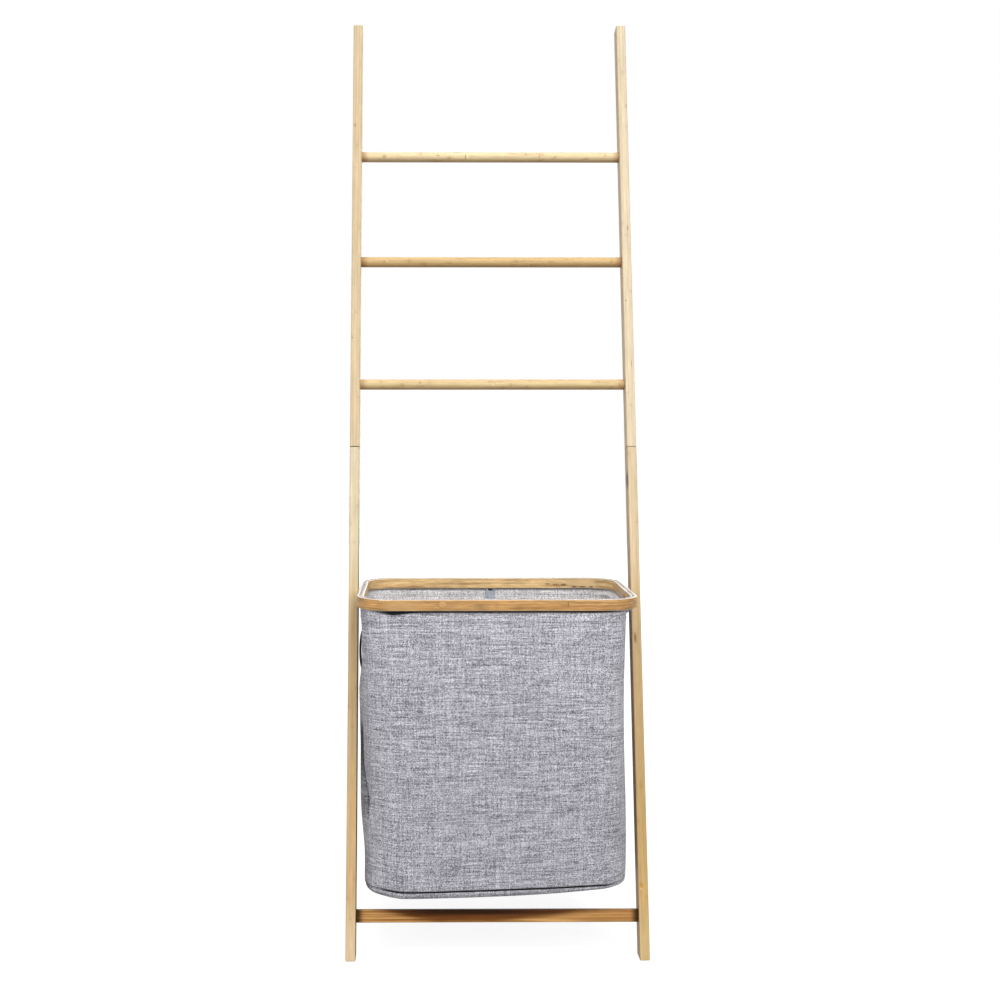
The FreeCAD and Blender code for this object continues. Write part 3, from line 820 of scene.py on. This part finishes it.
def wall_swell(z):
    """How far the cloth stands out from a plain straight wall at one height, for every column."""
    below = rim_z - z
    hem_line = 0.7 * mm * hump(below, 16.5 * mm, 2.2 * mm) - 0.5 * mm * hump(below, 19.5 * mm, 1.6 * mm)
    swell = front_way ** 2 * front_swell(z) + back_way ** 2 * back_swell(z) + left_swell(z) + right_swell(z)
    return (swell + hem_line + seam_ridges(z)) * soft(below, 0.0, 1.5 * mm)


def base_lift(x):
    """The seam at the bottom rises from the left to the right, and again at the left corner."""
    along_front = np.clip((x + 0.162) / 0.329, 0, 1.15)
    return (11.4 * along_front ** 1.5 - 2.0 + 5.5 * soft(-x, 0.150, 0.195)) * mm


def base_sag(x):
    """How much further the bottom sags below its seam: less towards the right corner."""
    return -5.5 * mm * np.clip(1 - (np.maximum(x, 0) / 0.19) ** 2, 0, 1)


def wall_row(z):
    """One ring of the wall, lifted towards the bottom as the seam is."""
    share = np.clip((rim_z - z) / (rim_z - floor_z), 0, 1)
    points = top_points + (base_points - top_points) * share
    moved = points + top_ways * (wall_swell(z) - cloth_inset)[:, None]
    lift = base_lift(moved[:, 0]) * soft(rim_z - z, 160 * mm, rim_z - seam_z)
    return np.column_stack((moved[:, 0], moved[:, 1] + pivot.y, z + lift))


# The bottom edge below the seam: each ring's height over the bag's floor and how far it is drawn in, in mm,
# and whether it lies in the seam's groove
edge_profile = (
    (10.9, 0.1, False), (10.5, 0.3, False), (10.2, 1.0, False), (10.05, 2.4, True), (9.95, 6.0, True),
    (7.5, 6.0, True), (7.3, 2.6, True), (7.05, 1.5, False), (6.6, 0.9, False), (6.0, 0.8, False),
    (5.0, 1.2, False), (3.8, 2.6, False), (2.7, 4.6, False), (1.6, 7.4, False), (0.75, 11.0, False),
    (0.2, 15.0, False), (0.0, 20.0, False),
)
edge_inset = 0.8
ring_shares = (0.84, 0.76, 0.67, 0.58, 0.49, 0.40, 0.31, 0.22, 0.13, 0.05)
floor_dip = 2.0 * mm


def edge_row(height, inset, in_groove):
    """One ring of the bottom edge. The seam's groove fades out at the corners."""
    drawn = np.full(column_count, inset)
    if in_groove:
        drawn = edge_inset + (inset - edge_inset) * (0.12 + 0.88 * flat_part)
    swell = wall_swell(seam_z + 2 * mm) * soft(height, -2.0, 9.0)
    moved = base_points + base_ways * (swell - drawn * mm - cloth_inset)[:, None]
    lift = base_lift(moved[:, 0]) + base_sag(moved[:, 0]) * soft(8.0 - height, 0.0, 7.0)
    return np.column_stack((moved[:, 0], moved[:, 1] + pivot.y, floor_z + height * mm + lift))


def floor_ring(edge, share):
    """One ring of the floor, a share of the way out from its middle to the edge."""
    centre = np.array((0.0, pivot.y, 0.0))
    ring = centre + (edge - centre) * np.array((share, share, 0.0))
    level = floor_z + base_lift(ring[:, 0]) + base_sag(ring[:, 0])
    ring[:, 2] = edge[:, 2] * share + (level - floor_dip) * (1 - share)
    return ring


def bag_rows():
    """The bag's rings, close together under the rim and at the bottom seam and further apart between."""
    fine_end = rim_z - 12 * mm
    medium_end = rim_z - 30 * mm
    heights = list(np.linspace(hem_top_z, rim_z, 6)[:-1])
    heights += list(np.arange(rim_z, fine_end, -0.75 * mm))
    heights += list(np.arange(fine_end, medium_end, -1.5 * mm))
    heights += list(np.linspace(medium_end, seam_z + 8 * mm, 112))
    heights += [seam_z + 5.5 * mm, seam_z + 3.6 * mm, seam_z + 2.0 * mm]
    rows = [wall_row(z) for z in heights] + [edge_row(*ring) for ring in edge_profile]
    edge = rows[-1]
    return np.array(rows + [floor_ring(edge, share) for share in ring_shares])


rows = bag_rows()
row_count = len(rows)
floor_start = row_count - len(ring_shares) - 1
edge_start = row_count - len(ring_shares) - len(edge_profile)
groove_rows = [edge_start + index for index, ring in enumerate(edge_profile) if ring[2]]
row_run = np.append(0.0, np.cumsum(np.linalg.norm(np.diff(rows[:, front_middle], axis=0), axis=1)))


def crevice_shade_row(r):
    """How much painted shade each point of a row gets: under the rim, in the crease and in the bottom seam."""
    if r in groove_rows:
        return flat_part
    if r >= edge_start:
        return np.zeros(column_count)
    z = rows[r, front_middle, 2]
    # Painted shadow just under the rim, taller where the front gapes; painted shade along the crease and over the
    # fold behind it
    gap_end = (4.5 + 4.0 * hump(top_x, *gape_span) * front_way) * mm
    rim_gap_shadow = window(rim_z - z, 0.0, 0.5 * mm, gap_end - 1.2 * mm, gap_end) * flat_part
    behind = crease_run(z) - left_run
    line = hump(behind, 1.5 * mm, 3.0 * mm)
    fold = window(behind, -2 * mm, 2 * mm, 15 * mm, 45 * mm) * (0.5 + 0.45 * soft(z, 0.27, 0.33))
    return np.maximum(rim_gap_shadow, np.maximum(line, fold) * crease_depth(z))


def bag_piece():
    """The shell of cloth: its weave runs round the wall and straight across the floor."""
    shape = Shape(np.vstack((rows.reshape(-1, 3), rows[-1].mean(axis=0))))
    for r, c, face in bands(row_count, column_count):
        weave = rectangle(around[c], around[c + 1], -row_run[r], -row_run[r + 1])
        if r >= floor_start:
            weave = [shape.points[i][:2] for i in face]
        shape.face(face[:1] + face[:0:-1], weave[:1] + weave[:0:-1])
    middle = row_count * column_count
    last = middle - column_count
    for c in range(column_count):
        face = (last + c, middle, last + (c + 1) % column_count)
        shape.face(face, [shape.points[i][:2] for i in face])
    piece = shape.piece("bag_cloth", bag_cloth_finish)
    piece.data.materials.append(bag_lining_lit_finish)
    # Painted shade for the cloth's finish, kept on each point
    crevice_shades = np.array([crevice_shade_row(r) for r in range(row_count)])
    layer = piece.data.attributes.new("crevice_shade", "FLOAT", "POINT")
    layer.data.foreach_set("value", np.append(crevice_shades, 0.0))
    thicken = piece.modifiers.new("cloth", "SOLIDIFY")
    thicken.thickness = cloth_thickness
    thicken.offset = -1.0
    thicken.material_offset = 1
    return piece


bag = bag_piece()
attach(bag, "basket")
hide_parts("bag_hem", "bag_front_panel", "bag_back_panel", "bag_left_gusset", "bag_right_gusset",
            "bag_base_panel")

# The hem's roll over the hoops: insets from the outer hoop's outside and heights over its top, in mm
hem_roll_section = (
    (5.0, -2.2), (6.7, -2.2), (6.7, 0.12), (8.0, 0.14), (8.1, 0.3), (7.6, 0.5), (6.7, 0.65), (5.85, 0.7),
    (5.0, 0.65), (4.1, 0.5), (3.6, 0.3), (3.7, 0.14), (5.0, 0.12),
)


def swept_round(name, section, material):
    """A closed section carried once round the hem."""
    hoop_corner = hem_corner + hoop_high.x - hem_half_width
    half_depth = (hoop_high.y - hoop_low.y) / 2
    rings = []
    for inset, height in section:
        ring = loop(hoop_high.x - inset * mm, half_depth - inset * mm, hoop_corner - inset * mm)[0]
        rings.append([(x, y + pivot.y, hoop_high.z + height * mm) for x, y in ring])
    sides = [math.dist(a, b) * mm for a, b in zip(section, section[1:] + section[:1])]
    shape = Shape()
    shape.tube(rings, around, np.append(0.0, np.cumsum(sides)), wrapped=True)
    return shape.piece(name, material)


hem_roll = swept_round("bag_hem_roll", hem_roll_section, bag_cloth_finish)
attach(hem_roll, "basket")


# Stitches

thread_sides = 6
# Along each stitch: its share of the length, its lift and its girth, both in radii
stitch_stations = (
    (0.0, -0.5, 0.35), (0.12, 0.55, 0.9), (0.5, 0.85, 1.0), (0.88, 0.55, 0.9), (1.0, -0.5, 0.35),
)
hem_stitch_z = rim_z - 18.0 * mm
hem_stitch_length = 3.4 * mm
hem_stitch_pitch = 4.7 * mm
hem_thread_radius = 0.33 * mm


def stitch_row(name, places, out, radius, material):
    """Short bent threads, each between two places on the cloth and lifted its own way out."""
    shape = Shape()
    turns = [2 * math.pi * side / thread_sides for side in range(thread_sides)]
    across_weave = np.linspace(0, 2 * mm, thread_sides + 1)
    along_weave = [k * mm for k in range(len(stitch_stations))]
    for (start, end), away in zip(places, out):
        run = end - start
        across = run.cross(away).normalized()
        ways = [across * math.cos(turn) + away * math.sin(turn) for turn in turns]
        rings = []
        for share, lift, girth in stitch_stations:
            centre = start + run * share + away * (radius * lift)
            rings.append([centre + way * (radius * girth) for way in ways])
        shape.tube(rings, across_weave, along_weave)
    return shape.piece(name, material)


def on_ring(ring, run):
    """The place on a ring of the wall at a distance round the hem."""
    return Vector([np.interp(run, around, np.append(line, line[0])) for line in ring.T])


def hem_stitching():
    """A row of stitches round the wall, under the hem."""
    ring = wall_row(hem_stitch_z)
    below = wall_row(hem_stitch_z - 2 * mm)
    places = []
    out = []
    for k in range(int(total_run / hem_stitch_pitch)):
        start = on_ring(ring, k * hem_stitch_pitch)
        end = on_ring(ring, k * hem_stitch_pitch + hem_stitch_length)
        down = on_ring(below, k * hem_stitch_pitch) - start
        places.append((start, end))
        out.append(down.cross(end - start).normalized())
    return stitch_row("hem_stitching", places, out, hem_thread_radius, grey_thread_finish)


hem_thread = hem_stitching()
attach(hem_thread, "basket")


# Webbing handles on the gussets

handle_rows = 44
handle_cells = 14
handle_rise = 5.4 * mm
handle_gap = 0.35 * mm
handle_sewn = 18 * mm
strap_thickness = 2.6 * mm
strap_edge = 0.8 * mm
strap_ribs = 7
strap_rib_height = 0.16 * mm
handle_stitch_pitch = 2.6 * mm
handle_stitch_share = 0.72
handle_stitch_margin = 3.0 * mm
handle_stitch_lift = strap_thickness + 0.12 * mm
handle_thread_radius = 0.24 * mm


def gusset_place(z, y, side):
    """A place on the outside of a gusset, and the direction out of it."""
    drop = 4 * mm
    ring = wall_row(z)
    low = wall_row(z - drop)
    here = side * ring[:, 0] > hem_half_width * 0.8
    order = np.argsort(ring[here][:, 1])
    x = np.interp(y, ring[here][order, 1], ring[here][order, 0])
    x_low = np.interp(y, low[here][order, 1], low[here][order, 0])
    down = Vector((x_low - x, 0, -drop)).normalized()
    return Vector((x, y, z)), Vector((side * -down.z, 0, side * down.x))


def handle_line(low, high, side):
    """The strap's line down the gusset, sewn flat at both ends and arched between, and its ways out."""
    stations = []
    for k in range(handle_rows + 1):
        z = high.z + (low.z - high.z) * k / handle_rows
        place, out = gusset_place(z, (low.y + high.y) / 2, side)
        share = (high.z - z - handle_sewn) / (high.z - low.z - 2 * handle_sewn)
        rise = handle_rise * math.sin(math.pi * min(max(share, 0.0), 1.0)) ** 0.7
        stations.append((place + out * (handle_gap + rise), out))
    return stations


def strap_section(width):
    """The strap's outline: a ribbed outer face and a flat inner face, both rounded off at the edges."""
    def round_off(share):
        from_edge = min(share, 1 - share) * width
        return strap_thickness * (1 - min(from_edge / strap_edge, 1.0)) ** 2

    section = []
    for share in np.linspace(0, 1, handle_cells * 4 + 1):
        rib = strap_rib_height * abs(math.sin(math.pi * strap_ribs * share))
        section.append(((share - 0.5) * width, strap_thickness - 0.4 * round_off(share) + rib))
    for share in np.linspace(1, 0, handle_cells + 1):
        section.append(((share - 0.5) * width, 0.3 * round_off(share)))
    return section


def handle_piece(name, node, side):
    """A webbing strap in place of its plain solid. Gives back its line and its width for the stitches."""
    low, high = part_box(node)
    width = high.y - low.y
    stations = handle_line(low, high, side)
    line = [place for place, out in stations]
    section = strap_section(width)
    rings = []
    for k, place in enumerate(line):
        ahead = line[min(k + 1, handle_rows)] - line[max(k - 1, 0)]
        away = ahead.cross(Vector((0, side, 0))).normalized()
        rings.append([place + Vector((0, across, 0)) + away * lift for across, lift in section])
    steps = [(after - place).length for place, after in zip(line, line[1:])]
    shape = Shape()
    shape.tube(rings, [across for across, lift in section + section[:1]], np.append(0.0, np.cumsum(steps)),
               way=-side)
    piece = shape.piece(name, webbing_finish)
    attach(piece, "basket")
    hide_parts(node)
    return stations, width


def handle_stitching(name, stations, width):
    """A sewn box with a cross at each end of a strap."""
    sewn_rows = int(handle_rows * handle_sewn / (stations[0][0].z - stations[-1][0].z))
    half = width / 2 - handle_stitch_margin
    places = []
    out = []
    for first, last in ((1, sewn_rows - 1), (handle_rows - sewn_rows + 1, handle_rows - 1)):
        away = stations[first][1]
        box = [stations[k][0] + Vector((0, y, 0)) + away * handle_stitch_lift
               for k in (first, last) for y in (-half, half)]
        for a, b in itertools.combinations(box, 2):
            count = max(int((b - a).length / handle_stitch_pitch), 2)
            for k in range(count):
                start = a + (b - a) * (k / count)
                places.append((start, start + (b - a) * (handle_stitch_share / count)))
                out.append(away)
    piece = stitch_row(name, places, out, handle_thread_radius, black_thread_finish)
    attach(piece, "basket")


for side, hand in ((-1, "left"), (1, "right")):
    strap = handle_piece(hand + "_webbing_handle", hand + "_handle", side)
    handle_stitching(hand + "_handle_stitching", *strap)


# Plain tab inside the back of the bag

tab_width = tab_high.x - tab_low.x
tab_thickness = tab_high.y - tab_low.y
tab_middle = (tab_high.y + tab_low.y) / 2
tab_cells = 12
tab_rises = 22
tab_curl = 3.2 * mm
tab_ripple = 0.3 * mm
tab_bow = 0.7 * mm
tack_start = Vector((-4.6 * mm, tab_low.y - 0.15 * mm, tab_high.z - 0.6 * mm))
tack_run = Vector((9.2 * mm, 0, -0.25 * mm))
tack_step = Vector((0, 0, -0.45 * mm))
tack_rows = 9
tack_thread_radius = 0.3 * mm


def tab_ring(share):
    """A ring round the tab, along its front and back behind it, a share of the way down."""
    z = tab_high.z + (tab_low.z - tab_high.z) * share
    curl = tab_curl * share ** 2.4 + tab_ripple * math.sin(share * 9)
    ring = []
    for out in (-1, 1):
        for c in range(tab_cells + 1):
            across = out * (0.5 - c / tab_cells)
            bow = tab_bow * (across * 2) ** 2 * share
            edge = min(0.5 - abs(across), 0.1) * 10
            half = tab_thickness / 2 * (0.45 + 0.55 * edge ** 0.5)
            ring.append((across * tab_width, tab_middle - curl + bow + out * half, z))
    return ring


def tab_piece():
    """A strip of tape that curls a little at its lower end."""
    rings = [tab_ring(r / tab_rises) for r in range(tab_rises + 1)]
    shape = Shape()
    shape.tube(rings, [x for x, y, z in rings[0] + rings[0][:1]], [ring[0][2] for ring in rings], way=-1)
    piece = shape.piece("inner_tape_tab", tab_cloth_finish)
    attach(piece, "basket")
    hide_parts("inner_tab")


def tab_stitching():
    """A dense dark bar tack across the top of the tab."""
    starts = [tack_start + tack_step * k for k in range(tack_rows)]
    places = [(start, start + tack_run) for start in starts]
    out = [Vector((0, -1, 0))] * tack_rows
    piece = stitch_row("tab_bar_tack", places, out, tack_thread_radius, black_thread_finish)
    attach(piece, "basket")


tab_piece()
tab_stitching()


# Floor, light and background

floor_reach = 7.0
floor_tone = (0.28, 0.28, 0.28)
floor_glow = 0.84
world_strength = 0.30
# Where each light comes from, its spread in degrees and its strength
lights = {
    "front": ((0.3, -1.0, 0.45), 40, 1.77),
    "left_fill": ((-1.0, -0.6, 0.35), 40, 0.6),
    "back_fill": ((0.4, 1.0, 0.1), 40, 1.0),
    "overhead": ((0.05, -0.35, 1.0), 50, 1.9),
}


def seen_directly(tree):
    """1 for what is seen straight on, in a reflection or through glass, and 0 for scattered light."""
    path = tree.nodes.new("ShaderNodeLightPath")
    result = path.outputs["Is Camera Ray"]
    for name in ("Is Glossy Ray", "Is Transmission Ray"):
        larger = tree.nodes.new("ShaderNodeMath")
        larger.operation = "MAXIMUM"
        tree.links.new(result, larger.inputs[0])
        tree.links.new(path.outputs[name], larger.inputs[1])
        result = larger.outputs[0]
    return result


def floor_piece():
    """A pale floor that glows white to the camera and still takes the object's shadow."""
    look = Look("floor")
    look.set(base_color=floor_tone, roughness=0.9, specular_ior_level=0.1, emission_color=white)
    look.set(emission_strength=look.times(seen_directly(look.tree), floor_glow))
    mesh = bpy.data.meshes.new("floor")
    corners = ((-1, -1), (1, -1), (1, 1), (-1, 1))
    mesh.from_pydata([(x * floor_reach, y * floor_reach, 0) for x, y in corners], [], [(0, 1, 2, 3)])
    mesh.materials.append(look.material)
    piece = bpy.data.objects.new("floor", mesh)
    bpy.context.scene.collection.objects.link(piece)


def sun_light(name, from_place, spread, strength):
    """A soft even light from one direction."""
    data = bpy.data.lights.new(name, "SUN")
    data.angle = math.radians(spread)
    data.energy = strength
    lamp = bpy.data.objects.new(name, data)
    lamp.rotation_euler = (-Vector(from_place)).to_track_quat("-Z", "Y").to_euler()
    bpy.context.scene.collection.objects.link(lamp)


def world_light(strength):
    """An even surrounding light that shows as plain white."""
    world = bpy.data.worlds.new("studio")
    bpy.context.scene.world = world
    world.use_nodes = True
    tree = world.node_tree
    background = tree.nodes["Background"]
    background.inputs["Color"].default_value = (*white, 1.0)
    amount = tree.nodes.new("ShaderNodeMapRange")
    amount.inputs["To Min"].default_value = strength
    amount.inputs["To Max"].default_value = 1.0
    tree.links.new(seen_directly(tree), amount.inputs["Value"])
    tree.links.new(amount.outputs[0], background.inputs["Strength"])


floor_piece()
world_light(world_strength)
for name, light in lights.items():
    sun_light(name, *light)
bpy.context.scene.view_settings.view_transform = "Standard"
